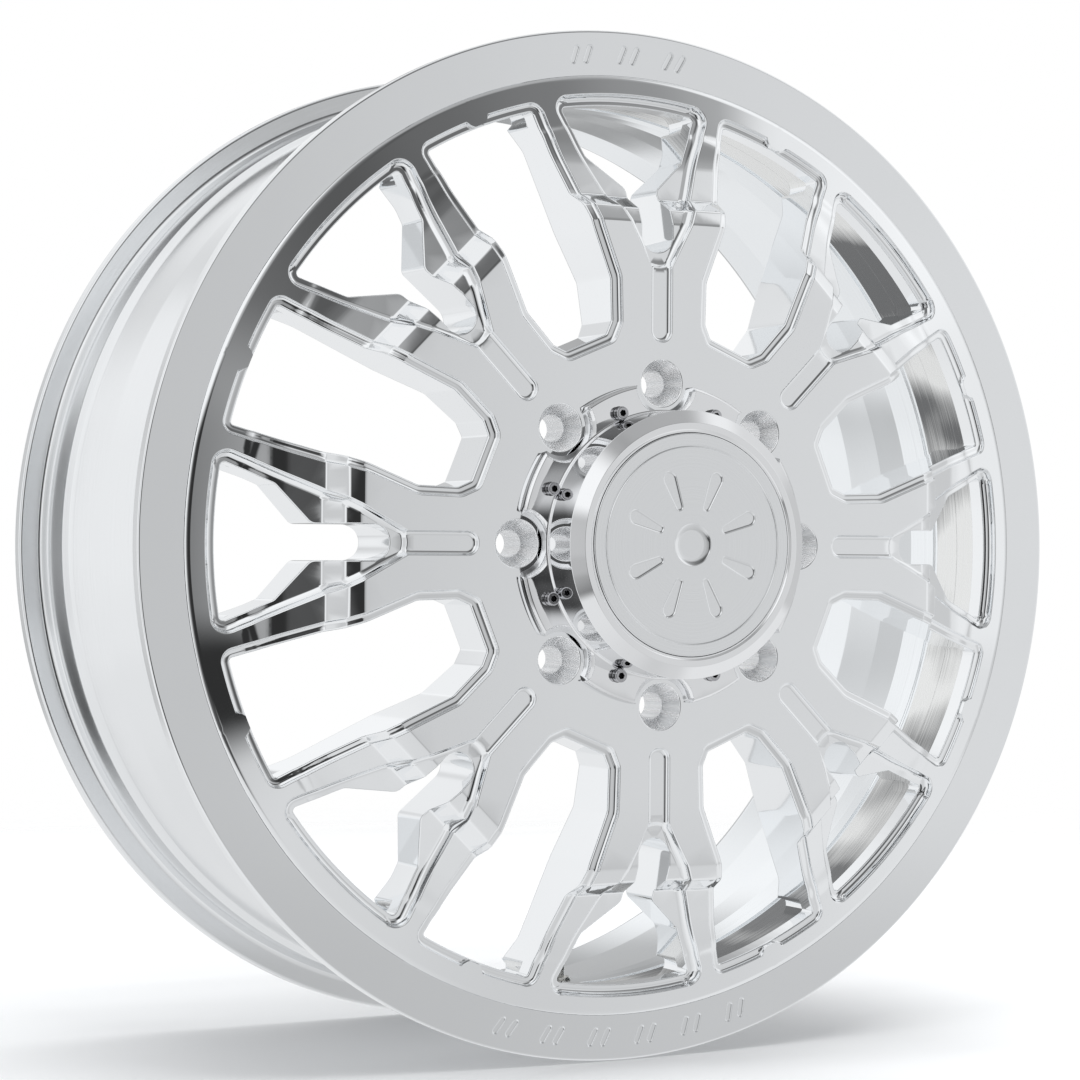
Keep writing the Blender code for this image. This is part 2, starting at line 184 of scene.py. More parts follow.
def within(loop, points):
    """Even-odd test of many points against one closed loop."""
    x, y = points[:, 0][:, None], points[:, 1][:, None]
    x0, y0 = loop[:, 0][None], loop[:, 1][None]
    x1, y1 = np.roll(loop[:, 0], -1)[None], np.roll(loop[:, 1], -1)[None]
    span = np.where(y1 == y0, 1e-12, y1 - y0)
    hits = ((y0 > y) != (y1 > y)) & (x < (x1 - x0) * (y - y0) / span + x0)
    return np.sum(hits, 1) % 2 == 1


def between(points, low, high, without=()):
    """True for points between two radii and outside every loop in without."""
    r = np.hypot(points[:, 0], points[:, 1])
    keep = (r > low) & (r < high)
    for loop in without:
        keep &= ~within(loop, points)
    return keep


# ---------------- nets

class Net:
    """Points, faces and wanted normals of one piece."""

    def __init__(self):
        self.points, self.faces, self.hints = [], [], []

    def add(self, points, faces, hints=None):
        base = len(self.points)
        self.points += [tuple(p) for p in points]
        self.faces += [tuple(base + i for i in face) for face in faces]
        self.hints += [tuple(h) for h in hints] if hints is not None else [(0, 0, 0)] * len(points)

    def add_turned(self, other, angle, shift=(0.0, 0.0, 0.0)):
        points = turned_by(np.array(other.points) + np.array(shift), angle)
        self.add(points, other.faces, turned_by(other.hints, angle))

    def fill(self, loops, creases, spots, keep, height, normal=None, down=False):
        """A triangulated sheet over the flat region where keep(points) is true."""
        coords, edges = [], []
        for line, closed in [(l, True) for l in loops] + [(c, False) for c in creases]:
            base = len(coords)
            coords += [Vector(p) for p in line]
            last = len(line) if closed else len(line) - 1
            edges += [(base + i, base + (i + 1) % len(line)) for i in range(last)]
        coords += [Vector(p) for p in spots]
        verts, _, tris, _, _, _ = delaunay_2d_cdt(coords, edges, [], 0, 1e-5)
        flat = np.array([tuple(v) for v in verts])
        tris = np.array([tuple(t) for t in tris])
        centres = flat[tris].mean(1)
        tris = tris[keep(centres)]
        a, b, c = flat[tris[:, 0]], flat[tris[:, 1]], flat[tris[:, 2]]
        size = (b[:, 0] - a[:, 0]) * (c[:, 1] - a[:, 1]) - (b[:, 1] - a[:, 1]) * (c[:, 0] - a[:, 0])
        tris = tris[np.abs(size) > 1e-7]
        size = size[np.abs(size) > 1e-7]
        swap = (size < 0) != down
        tris[swap] = tris[swap][:, ::-1]
        used = np.unique(tris)
        index = np.zeros(len(flat), int)
        index[used] = np.arange(len(used))
        flat = flat[used]
        points = raised(flat, height(flat[:, 0], flat[:, 1]))
        self.add(points, index[tris].tolist(), normal(flat) if normal else None)

    def strips(self, rings, hints=None):
        """Quads from each closed ring to the next; hints are the first ring's normals."""
        count = len(rings[0])
        points = np.concatenate(rings)
        faces = []
        for low in range(0, (len(rings) - 1) * count, count):
            high = low + count
            for i in range(count):
                j = (i + 1) % count
                faces.append((low + i, low + j, high + j, high + i))
        all_hints = np.zeros((len(points), 3))
        if hints is not None:
            all_hints[:count] = hints
        self.add(points, faces, all_hints)

    def turn(self, profile, steps, closed=True):
        """A (radius, height) profile turned about Z, with its outside facing out."""
        profile = np.array(profile, float)
        if area(profile) < 0:
            profile = profile[::-1]
        count = len(profile)
        starts = []
        for radius, height in profile:
            starts.append(len(self.points))
            ring = [(0.0, 0.0)] if radius < 1e-6 else circle(radius, steps)
            self.add(raised(ring, height), [])
        starts.append(len(self.points))
        single = [starts[i + 1] - starts[i] == 1 for i in range(count)]
        for i in range(count if closed else count - 1):
            j = (i + 1) % count
            if single[i] and single[j]:
                continue
            for k in range(steps):
                m = (k + 1) % steps
                a = [starts[i]] if single[i] else [starts[i] + k, starts[i] + m]
                b = [starts[j]] if single[j] else [starts[j] + m, starts[j] + k]
                self.faces.append(tuple(a + b))

    def turn_open(self, profile, steps):
        """An open (radius, height) profile turned about Z exactly in the order it is given."""
        self.strips([raised(circle(max(radius, 1e-4), steps), height) for radius, height in profile])

    def turn_fluted(self, profile, steps, cut):
        """A profile given from the top down, turned about Z less cut(radius, height) at each angle."""
        angles = angles_round(steps)
        rings = [raised(polar(radius - cut(radius, height, angles), angles), height) for radius, height in profile]
        self.strips([ring[::-1] for ring in rings][::-1])

    def recess(self, loop, top, steps, floor=True):
        """A shallow pocket let into a level face: steps are (inset, depth) pairs."""
        step = inward(loop)
        rings = [raised(loop + step * inset, top - depth) for inset, depth in steps]
        self.strips(rings, upright(loop))
        if floor:
            edge = rings[-1][:, :2]
            self.fill([edge], [], [], lambda p: within(edge, p), level(top - steps[-1][1]), upright)


def shared_hints(net):
    """The wanted normals, with each one copied to any bare point at the same place."""
    points, hints = np.array(net.points), np.array(net.hints, float)
    given = np.flatnonzero(np.any(hints, axis=1))
    if len(given):
        tree = KDTree(len(given))
        for i in given:
            tree.insert(points[i], int(i))
        tree.balance()
        for i in np.flatnonzero(~np.any(hints, axis=1)):
            _, near, gap = tree.find(points[i])
            if gap < 0.002:
                hints[i] = hints[near]
    return hints


def read(items, name, width=1, kind=np.float32):
    """One property of every item in a Blender collection."""
    values = np.zeros(len(items) * width, kind)
    items.foreach_get(name, values)
    return values.reshape(-1, width) if width > 1 else values


def weighted_normals(mesh):
    """Vertex normals that lean to the larger faces; zero where a sharp edge meets."""
    weighted = read(mesh.polygons, "normal", 3) * ((read(mesh.polygons, "area") * 1e6) ** 1.5)[:, None]
    corners = read(mesh.loops, "vertex_index", kind=np.int32)
    total = np.zeros((len(mesh.vertices), 3))
    np.add.at(total, corners, np.repeat(weighted, read(mesh.polygons, "loop_total", kind=np.int32), axis=0))
    total /= np.maximum(np.linalg.norm(total, axis=1), 1e-12)[:, None]
    sharp = mesh.attributes.get("sharp_edge")
    if sharp:
        flags = read(sharp.data, "value", kind=bool)
        total[read(mesh.edges, "vertices", 2, np.int32)[flags].ravel()] = 0
    return total


def add_object(name, data):
    item = bpy.data.objects.new(name, data)
    bpy.context.scene.collection.objects.link(item)
    return item


def finished(name, net, material, body, stands_for, matrix=STAND, sharp=38.0):
    """The net as an object in the row frame, riding on its CAD body."""
    mesh = bpy.data.meshes.new(name)
    mesh.from_pydata(net.points, [], net.faces)
    layer = mesh.attributes.new("hint", "FLOAT_VECTOR", "POINT")
    layer.data.foreach_set("vector", shared_hints(net).astype(np.float32).ravel())
    work = bmesh.new()
    work.from_mesh(mesh)
    bmesh.ops.remove_doubles(work, verts=work.verts, dist=0.0015)
    bmesh.ops.dissolve_degenerate(work, edges=work.edges, dist=0.0005)
    work.to_mesh(mesh)
    work.free()
    mesh.transform(matrix)
    mesh.shade_smooth()
    mesh.set_sharp_from_angle(angle=math.radians(sharp))
    hints = read(mesh.attributes["hint"].data, "vector", 3) @ np.array(matrix.to_3x3().normalized()).T
    plain = ~np.any(hints, axis=1)
    hints[plain] = weighted_normals(mesh)[plain]
    mesh.normals_split_custom_set_from_vertices(hints.tolist())
    mesh.attributes.remove(mesh.attributes["hint"])
    item = add_object(name, mesh)
    mesh.materials.append(material)
    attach(item, body)
    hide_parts(*stands_for)
    return item


# ---------------- materials

class Nodes:
    """Makes shader nodes in a tree, each input a socket to link or a plain value."""

    def __init__(self, tree):
        self.tree = tree

    def node(self, kind, inputs=(), **settings):
        made = self.tree.nodes.new(kind)
        for key, value in settings.items():
            setattr(made, key, value)
        for key, value in dict(inputs).items():
            if isinstance(value, bpy.types.NodeSocket):
                self.tree.links.new(value, made.inputs[key])
            else:
                made.inputs[key].default_value = value
        return made

    def math(self, operation, a, b=0.0, c=0.0):
        return self.node("ShaderNodeMath", {0: a, 1: b, 2: c}, operation=operation).outputs[0]

    def times(self, value, factor):
        return self.math("MULTIPLY", value, factor)

    def mix(self, share, one, other):
        return self.node("ShaderNodeMix", {0: share, 6: one, 7: other}, data_type="RGBA").outputs[2]

    def smooth(self, value, low, high):
        inputs = {"Value": value, "From Min": low, "From Max": high}
        return self.node("ShaderNodeMapRange", inputs, interpolation_type="SMOOTHSTEP").outputs[0]


class Look(Nodes):
    """A node material round one Principled shader, with object coordinates at hand."""

    def __init__(self, name, **values):
        self.material = bpy.data.materials.new(name)
        self.material.use_nodes = True
        super().__init__(self.material.node_tree)
        self.shader = self.tree.nodes["Principled BSDF"]
        for key, value in values.items():
            self.shader.inputs[key.replace("_", " ")].default_value = value
        self.place = self.node("ShaderNodeTexCoord").outputs["Object"]

    def parts(self):
        """The object coordinates, one by one."""
        return self.node("ShaderNodeSeparateXYZ", {0: self.place}).outputs

    def pair(self, x, y):
        return self.node("ShaderNodeCombineXYZ", {0: x, 1: y}).outputs[0]

    def link(self, socket, target):
        self.tree.links.new(socket, self.shader.inputs[target])

    def blend(self, one, other, share):
        return self.math("MULTIPLY_ADD", one, share, self.times(other, 1 - share))

    def noise(self, scale, detail=3.0, rough=0.5, place=None, stretch=None):
        where = place or self.place
        if stretch:
            where = self.node("ShaderNodeVectorMath", {0: where, 1: stretch}, operation="MULTIPLY").outputs[0]
        inputs = {"Vector": where, "Scale": scale, "Detail": detail, "Roughness": rough}
        return self.node("ShaderNodeTexNoise", inputs).outputs[0]

    def spread(self, value, low, high, start=0.3, end=0.7):
        inputs = {"Value": value, "From Min": start, "From Max": end, "To Min": low, "To Max": high}
        return self.node("ShaderNodeMapRange", inputs).outputs[0]

    def rough(self, value, low, high):
        self.link(self.spread(value, low, high), "Roughness")

    def tint(self, share, color, other):
        """Base colour that goes from one colour to the other by share."""
        self.link(self.mix(share, (*color, 1.0), (*other, 1.0)), "Base Color")

    def bump(self, height, strength, distance):
        inputs = {"Height": height, "Strength": strength, "Distance": distance}
        self.link(self.node("ShaderNodeBump", inputs).outputs[0], "Normal")

    def distance(self, a, b):
        """Length of the flat vector (a, b)."""
        return self.math("SQRT", self.math("ADD", self.math("POWER", a, 2.0), self.math("POWER", b, 2.0)))

    def lathe_lines(self, pitch):
        """Fine rings left by the turning tool round the Y axis, about one every pitch metres."""
        x, y, z = self.parts()
        along = self.math("ADD", self.distance(x, z), self.times(y, 0.7))
        made = self.node("ShaderNodeTexNoise", {"W": along, "Scale": 1 / pitch, "Detail": 2.0}, noise_dimensions="1D")
        return made.outputs[0]


def polished(name, color, low, high, ripple):
    """Hand-polished forging: near mirror, with faint haze and buffing lines."""
    look = Look(name, Metallic=1.0)
    haze = look.noise(14.0, 4.0, 0.6)
    buffed = look.noise(38.0, 5.0, 0.65, stretch=(1.0, 6.0, 1.0))
    look.rough(look.blend(haze, buffed, 0.65), low, high)
    look.tint(haze, color, [c * 0.97 for c in color])
    look.bump(look.noise(7.0, 2.0), ripple, 0.01)
    return look.material


def lathe_turned(name, color, low, high, pitch, depth):
    """Machined on a lathe: fine rings round the axle under a light polish."""
    look = Look(name, Metallic=1.0)
    lines = look.lathe_lines(pitch)
    haze = look.noise(11.0, 4.0, 0.6)
    look.rough(look.blend(lines, haze, 0.5), low, high)
    look.tint(lines, color, [c * 0.93 for c in color])
    look.bump(lines, 0.25, depth)
    return look.material


def brushed_fit_painted_reflection(name):
    """Unpolished zone behind the disc: brushed round the axle, with painted reflection in its light and dark patches.
    """
    look = Look(name, Metallic=1.0, Anisotropic=0.6)
    x, y, z = look.parts()
    around = look.math("ARCTAN2", z, x)
    along = look.pair(look.times(around, 1.9), look.times(y, 3.0))
    # Painted reflection: the wave round the axle and the noise give light and dark patches of base colour that stand in
    # for the dark studio mirrored here.
    wave = look.math("SINE", look.math("MULTIPLY_ADD", around, 4.0, 2.76))
    painted_reflection_patch = look.math("MULTIPLY_ADD", wave, 0.13, look.noise(1.7, 2.0, 0.45, place=along))
    streak = look.pair(look.times(around, 3.0), look.times(y, 700.0))
    lines = look.noise(1.0, 3.0, 0.6, place=streak)
    dark = look.spread(look.math("MULTIPLY_ADD", lines, 0.16, painted_reflection_patch), 0.0, 1.0, 0.5, 0.66)
    look.tint(dark, (0.16, 0.162, 0.165), (0.86, 0.86, 0.85))
    look.rough(lines, 0.2, 0.36)
    look.link(look.node("ShaderNodeTangent", direction_type="RADIAL", axis="Y").outputs[0], "Tangent")
    look.bump(lines, 0.3, 0.00005)
    return look.material


def countersunk(name):
    """Lug seats: bright cones with fine scratches that run down to each stud hole."""
    look = Look(name, Metallic=0.62)
    x, _, z = look.parts()
    around = look.math("ADD", look.math("ARCTAN2", z, x), HALF_PITCH)
    turn = look.math("SUBTRACT", look.math("FLOORED_MODULO", around, PITCH), HALF_PITCH)
    radius = look.distance(x, z)
    across = look.math("SUBTRACT", look.times(radius, look.math("COSINE", turn)), LUG_CIRCLE / 1000)
    angle = look.math("ARCTAN2", look.times(radius, look.math("SINE", turn)), across)
    lines = look.noise(3.2, 2.0, 0.5, place=look.pair(look.math("COSINE", angle), look.math("SINE", angle)))
    look.tint(look.spread(lines, 0.0, 1.0, 0.42, 0.58), (0.88, 0.89, 0.9), (0.99, 0.99, 0.995))
    look.rough(lines, 0.2, 0.32)
    look.bump(lines, 0.22, 0.0006)
    return look.material


def small_metal(name, color, low, high, scale):
    """Plated or oxide-finished small hardware."""
    look = Look(name, Metallic=1.0)
    grain = look.noise(scale, 4.0, 0.6)
    look.rough(grain, low, high)
    look.tint(look.noise(scale * 0.12, 3.0, 0.5), color, [c * 0.7 for c in color])
    look.bump(grain, 0.15, 0.00006)
    return look.material


def moulded_rubber(name):
    look = Look(name, Metallic=0.0)
    grain = look.noise(2400.0, 3.0, 0.6)
    look.rough(grain, 0.55, 0.8)
    look.tint(look.noise(90.0, 3.0, 0.6), (0.012, 0.012, 0.013), (0.035, 0.035, 0.037))
    look.bump(grain, 0.3, 0.00008)
    return look.material


chrome = polished("polished_forging_look", (0.93, 0.94, 0.95), 0.025, 0.07, 0.012)
cap_chrome = polished("polished_cap_look", (0.93, 0.935, 0.945), 0.02, 0.06, 0.008)
lip_metal = polished("polished_lip_look", (0.93, 0.94, 0.95), 0.03, 0.075, 0.01)
barrel_metal = lathe_turned("polished_barrel_look", (0.95, 0.97, 0.985), 0.06, 0.16, 0.0009, 0.00004)
# A darker copy of the barrel's turned metal for its outside faces: painted shade.
barrel_outside_painted_shade = lathe_turned("barrel_outside_painted_shade_look", (0.9, 0.91, 0.92), 0.1, 0.22, 0.0009, 0.00002)
badge_metal = lathe_turned("brushed_badge_look", (0.9, 0.91, 0.92), 0.08, 0.16, 0.0007, 0.00003)
fitted_metal_painted_reflection = brushed_fit_painted_reflection("fitted_zone_painted_reflection_look")
seat_metal = countersunk("lug_seat_look")
screw_metal = small_metal("screw_steel_look", (0.62, 0.62, 0.64), 0.12, 0.24, 900.0)
socket_metal = small_metal("black_oxide_look", (0.03, 0.03, 0.032), 0.3, 0.5, 900.0)
nickel = small_metal("nickel_look", (0.72, 0.71, 0.68), 0.12, 0.28, 700.0)
brass = small_metal("valve_brass_look", (0.78, 0.6, 0.3), 0.18, 0.34, 900.0)
spring_metal = small_metal("spring_steel_look", (0.55, 0.55, 0.57), 0.2, 0.35, 1200.0)
rubber = moulded_rubber("valve_rubber_look")


# ---------------- forged centre: heights

def table(corners, turn=4.0):
    """A rounded (distance, height) profile as two arrays for interpolation."""
    line = rounded(corners, closed=False, turn=turn)
    return line[:, 0], line[:, 1]


LEG_STEP = [(-400, HUB_FACE, 0), (199.8, HUB_FACE, 6.0), (208.8, 41.2, 4.0), (216.6, 26.2, 3.0)]
LEG_SWEEP = [(235.6 + t, 17.2 - 0.474 * t + 0.00875 * t * t, 8.0) for t in range(0, 17, 2)]
LEG_X, LEG_Z = table(LEG_STEP + LEG_SWEEP + [(300.0, 2.2, 0)], 3.0)
RING_R, RING_Z = table([
    (150, 80.6, 0), (266.0, 8.85, 9.0), (294.2, 1.66, 1.2), (295.6, 0.9, 0.4), (LIP_INNER, 0.2, 0),
], 3.0)
BACK_R, BACK_Z = table([
    (60, HUB_PAD, 0), (122.5, HUB_PAD, 1.2), (128.5, 5.0, 3.0), (255.0, -24.0, 14.0),
    (274.0, -40.0, 2.5), (300.0, -40.0, 0),
])
BLEND = 0.75


def front_height(x, y):
    """Top of the forging over a spoke along X: stepped leg, blended into the outer ring."""
    leg = np.interp(x, LEG_X, LEG_Z)
    ring = np.interp(np.hypot(x, y), RING_R, RING_Z)
    low = np.minimum(leg, ring)
    return low - BLEND * np.log1p(np.exp(-np.abs(leg - ring) / BLEND))


def back_height(x, y):
    return np.interp(np.hypot(x, y), BACK_R, BACK_Z)


def slope_normals(points, height, width=0.35, sign=1.0):
    """Unit normals of a height function at flat points."""
    x, y = points[:, 0], points[:, 1]
    dx = (height(x + width, y) - height(x - width, y)) / (2 * width)
    dy = (height(x, y + width) - height(x, y - width)) / (2 * width)
    normals = np.column_stack((-dx, -dy, np.ones(len(points)))) * sign
    return normals / np.linalg.norm(normals, axis=1)[:, None]


# ---------------- forged centre: outlines

RIM_EDGE = 283.5
FORK_EDGE = 284.8
THROAT_EDGE = 278.0


def on_arc(radius, degrees):
    return [(radius * math.cos(math.radians(d)), radius * math.sin(math.radians(d)), 0) for d in degrees]


def mirrored(half):
    """A closed loop from a half outline on the +Y side whose ends lie on the X axis."""
    other = [(x, -y, r) for x, y, r in reversed(half) if y > 0]
    return half + other


def anticlockwise(loop):
    return loop if area(loop) > 0 else loop[::-1]


def spoke_x(point):
    """How far out along the nearer spoke a point of a window lies, in the window's frame."""
    return point[0] * math.cos(HALF_PITCH) + abs(point[1]) * math.sin(HALF_PITCH)


CREASES = [x for x in LEG_X if 190 < x < 262]  # where the nets need a row of points for the leg's bends
SIDE = 2.4  # longest side of an outline


def outline(half, measure):
    """The full rounded loop of a half outline, with points where measure passes a crease."""
    return anticlockwise(crossed(rounded(mirrored(half), longest=SIDE), measure, CREASES))


WINDOW = outline([
    (127.0, 0, 0), (127.0, 17.5, 8.5), (136.5, 27.2, 10.0), (163.4, 37.4, 14.0), (197.7, 38.1, 40.0),
    (279.8, 45.7, 8.5),
] + on_arc(RIM_EDGE, [7.2, 6.0, 4.8, 3.6, 2.4, 1.2, 0]), spoke_x)
POCKET = outline([
    (125.0, 0, 0), (125.0, 7.75, 7.5), (172.2, 7.75, 2.5), (201.6, 23.6, 40.0), (220.0, 33.0, 60.0),
    (278.6, 59.0, 10.0),
] + on_arc(FORK_EDGE, [9.6, 8.3, 7.0, 5.6, 4.2, 2.8, 1.4, 0]), lambda p: p[0])
THROAT = outline([
    (180.9, 0, 0), (180.9, 11.7, 11.4), (222.5, 11.7, 5.0), (242.0, 35.1, 6.0), (273.6, 49.1, 3.4),
] + on_arc(THROAT_EDGE, [9.0, 7.4, 5.9, 4.4, 2.9, 1.4, 0]), lambda p: p[0])

# Ball-milled ledge round a window: (inset, depth) pairs down to the edge of the through wall
LEDGE = [(0, 0), (0.25, 0.05), (0.5, 0.2), (0.68, 0.48), (0.8, 1.0), (1.02, 1.8), (1.5, 2.5), (2.25, 3.0), (3.1, 3.25),
         (4.2, 3.3), (5.1, 3.35), (5.7, 3.5), (6.12, 3.8), (6.4, 4.25), (6.5, 4.8)]
FLOOR_WALL = [(0, 0), (0.22, 0.02), (0.42, 0.06), (0.56, 0.14), (0.66, 0.28), (0.85, 0.48), (1.25, 0.7),
              (1.9, 0.88), (2.7, 0.97), (3.4, 1.0)]
THROAT_LIP = [(0, 0), (0.3, 0.06), (0.55, 0.2), (0.72, 0.45), (0.8, 0.8)]
TOOTH = 5.0  # reach of the land in the middle of a window's rim edge
SKIN = 12.0  # thickness of the face before the walls step out behind it
STEP_OUT = 6.0


def eased(value, low, high):
    """0 up to low, 1 from high on, and smooth between them."""
    share = np.clip((value - low) / (high - low), 0, 1)
    return share * share * (3 - 2 * share)


def tooth_share(loop):
    """1 where the window's ledge stops for a short land in the middle of its rim edge."""
    rim = np.hypot(loop[:, 0], loop[:, 1]) > RIM_EDGE - 1.0
    return np.where(rim, eased(-np.abs(loop[:, 1]), -8.0, -4.6), 0)


WINDOW_IN = inward(WINDOW)
WINDOW_TOOTH = tooth_share(WINDOW)
WINDOW_FACE = WINDOW + WINDOW_IN * (WINDOW_TOOTH * TOOTH)[:, None]
WINDOW_HOLE = WINDOW + WINDOW_IN * LEDGE[-1][0]
POCKET_IN = inward(POCKET)
POCKET_WIDE = 1.0 + 0.66 * np.clip((POCKET[:, 0] - 170.0) / 16.0, 0, 1)
THROAT_IN = inward(THROAT)
THROAT_HOLE = THROAT + THROAT_IN * THROAT_LIP[-1][0]


def stepped_out(hole, way_in):
    """A hole's loop behind the face skin, where its rim side opens out towards the barrel."""
    return hole - way_in * (eased(np.hypot(hole[:, 0], hole[:, 1]), 270.5, 273.5) * STEP_OUT)[:, None]


WINDOW_DEEP = stepped_out(WINDOW_HOLE, WINDOW_IN)
THROAT_DEEP = stepped_out(THROAT_HOLE, THROAT_IN)


def pocket_depth(x, y):
    """3 mm in the straight groove, deeper in the fork, with a rounded edge between them."""
    return 3.0 + 3.0 * eased(x - y * y / 30.0, 171.0, 174.4)


def pocket_height(x, y):
    return front_height(x, y) - pocket_depth(x, y)


def center_sector():
    """One spoke with half a window on each side, from bore to outer ring."""
    net = Net()
    side_windows = [turned_by(WINDOW_FACE, HALF_PITCH), turned_by(WINDOW_FACE, -HALF_PITCH)]
    seat = circle(SEAT_RADIUS, 56, (LUG_CIRCLE, 0))
    arcs = np.linspace(-HALF_PITCH, HALF_PITCH, 31)

    def rays(low, high, steps):
        """The sector's two straight sides between two radii."""
        r = np.linspace(low, high, steps)
        return [polar(r, side * HALF_PITCH) for side in (1, -1)]

    def sheet(holes, lines, radii, spots, height, normal, down=False):
        """A face of the sector between the bore and the lip, round its holes."""
        def keep(points):
            inside = np.abs(np.arctan2(points[:, 1], points[:, 0])) < HALF_PITCH
            return inside & between(points, BORE_EDGE - 0.3, LIP_INNER, holes)

        rings = [polar(r, arcs) for r in (*radii, BORE_EDGE, LIP_INNER)]
        net.fill(holes, lines + rings, spots[keep(spots)], keep, height, normal, down)

    # front face, with spots close enough to follow the curve of the outer ring
    folds = [np.column_stack((np.full(81, x), np.linspace(-120, 120, 81))) for x in CREASES]
    spots = []
    for radius in np.arange(252.0, 295.5, 2.4):
        count = 2 * int(radius * HALF_PITCH / 2.6) + 1
        spots.append(polar(radius, np.linspace(-HALF_PITCH, HALF_PITCH, count)[1:-1]))
    lines = rays(BORE_EDGE, 127.0, 8) + rays(RIM_EDGE - TOOTH, LIP_INNER, 8) + folds
    sheet(
        side_windows + [POCKET, seat], lines, (), np.concatenate(spots), front_height,
        lambda p: slope_normals(p, front_height),
    )

    # groove and fork floor
    inner = POCKET + POCKET_IN * (FLOOR_WALL[-1][0] * POCKET_WIDE)[:, None]

    def floor(points):
        return within(inner, points) & ~within(THROAT, points)

    edges = [np.array([(x + y * y / 30.0, y) for y in np.linspace(-12, 12, 13)]) for x in (171.0, 172.1, 173.3, 174.4)]
    net.fill([inner, THROAT], folds + edges, [], floor, pocket_height, lambda p: slope_normals(p, pocket_height, 0.5))
    rings = []
    for inset, share in FLOOR_WALL:
        p = POCKET + POCKET_IN * (inset * POCKET_WIDE)[:, None]
        rings.append(raised(p, front_height(*p.T) - share * pocket_depth(*p.T)))
    net.strips(rings, slope_normals(POCKET, front_height))

    # through wall of the fork
    rings = []
    for inset, depth in THROAT_LIP:
        p = THROAT + THROAT_IN * inset
        rings.append(raised(p, pocket_height(*p.T) - depth))
    rings += wall_to_back(THROAT_HOLE, THROAT_DEEP, THROAT_IN, rings[-1][:, 2])
    net.strips(rings, slope_normals(THROAT, pocket_height, 0.5))

    # conical lug seat and its hole
    net.recess(seat, HUB_FACE, [
        (0, 0), (0.3, 0.06), (0.6, 0.25), (0.8, 0.5), (6.6, 11.4), (6.8, 12.2), (6.8, 33.8), (6.4, 34.6), (6.0, 35.0),
    ], floor=False)

    # back face
    holes = [turned_by(WINDOW_DEEP - WINDOW_IN, side * HALF_PITCH) for side in (1, -1)]
    holes += [THROAT_DEEP - THROAT_IN, circle(SEAT_RADIUS - 6.0, 56, (LUG_CIRCLE, 0))]
    sheet(
        holes, rays(BORE_EDGE, 130.4, 8) + rays(280.0, LIP_INNER, 4), [r for r in BACK_R if 100 < r < 290],
        np.empty((0, 2)), back_height, lambda p: slope_normals(p, back_height, 0.35, -1.0), down=True,
    )
    return net


def wall_to_back(loop, deep, step, top):
    """Rings of a through wall, from height top down to the chamfered edge of the back."""
    rings = []
    for share, drop in ((0.0, SKIN - 0.7), (0.04, SKIN - 0.2), (0.5, SKIN), (0.96, SKIN + 0.2), (1.0, SKIN + 0.7)):
        rings.append(raised(loop + (deep - loop) * share, top - drop))
    for out, lift in ((0.0, 1.6), (0.0, 1.0), (0.3, 0.3), (1.0, 0.0)):
        p = deep - step * out
        rings.append(raised(p, back_height(*p.T) + lift))
    return rings


def to_spoke(points):
    """Points round a window, each turned onto its nearer spoke, and which of them lie above X."""
    up = (points[:, 1] > 0)[:, None]
    return np.where(up, turned_by(points, -HALF_PITCH), turned_by(points, HALF_PITCH)), up


def window_wall():
    """The ledge and through wall of the window on the +X side, in the window's frame."""
    rings = []
    for inset, depth in LEDGE:
        move = np.maximum(inset, WINDOW_TOOTH * (TOOTH + inset * 0.2))
        p = WINDOW + WINDOW_IN * move[:, None]
        rings.append(raised(p, front_height(*to_spoke(p)[0].T) - depth))
    rings += wall_to_back(WINDOW_HOLE, WINDOW_DEEP, WINDOW_IN, rings[-1][:, 2])
    local, up = to_spoke(WINDOW_FACE)
    normals = slope_normals(local, front_height)
    net = Net()
    net.strips(rings, np.where(up, turned_by(normals, HALF_PITCH), turned_by(normals, -HALF_PITCH)))
    return net


def build_center():
    net = Net()
    sector, wall = center_sector(), window_wall()
    for k in range(SPOKES):
        net.add_turned(sector, PITCH * k)
        net.add_turned(wall, PITCH * (k + 0.5))
    net.turn([(LIP_INNER, -40.0), (LIP_INNER, 0.2)], AROUND, closed=False)
    net.turn([
        (BORE_EDGE, HUB_FACE), (71.6, HUB_FACE - 0.5), (BORE, HUB_FACE - 1.6), (BORE, HUB_PAD + 1.6),
        (71.6, HUB_PAD + 0.5), (BORE_EDGE, HUB_PAD),
    ], AROUND, closed=False)
    center = finished("center_forging", net, chrome, "wheel", ["forged_center"])
    center.data.materials.append(fitted_metal_painted_reflection)
    center.data.materials.append(seat_metal)
    for face in center.data.polygons:
        spot, way = face.center, face.normal
        out = math.hypot(spot.x, spot.z)
        inwards = way.x * spot.x + way.z * spot.z < -0.6 * out
        turn = (math.atan2(spot.z, spot.x) + HALF_PITCH) % (PITCH) - HALF_PITCH
        from_lug = math.hypot(out * math.cos(turn) - LUG_CIRCLE / 1000, out * math.sin(turn))
        # Inward faces at the outer ring take the brushed metal with painted reflection patches.
        if inwards and out > 0.2795 and spot.y > -0.0585:
            face.material_index = 1
        elif from_lug < 0.0157 and -0.1197 < spot.y < -0.0855:
            face.material_index = 2

# ---------------- rim barrel

def bar_mark(angle, slant):
    """One slanted bar of the generic pattern engraved in the lip, at a polar angle."""
    half, wide = 6.6, 2.3
    corners = [(x, y, 2.2) for x, y in ((-half, -wide), (half, -wide), (half, wide), (-half, wide))]
    loop = turned_by(rounded(corners, turn=15.0, longest=2.0), slant)
    return turned_by(loop + np.array((309.8, 0)), angle)


def lip_marks():
    """Pairs of slanted bars: a long row at the bottom of the lip and a short one at the top."""
    loops = []
    for centre, count in ((-math.pi / 2, 6), (math.pi / 2, 3)):
        for i in range(count):
            for j in (-0.5, 0.5):
                angle = centre + math.radians((i - (count - 1) / 2) * 6.2 + j * 1.7)
                loops.append(anticlockwise(bar_mark(angle, math.radians(-24))))
    return loops


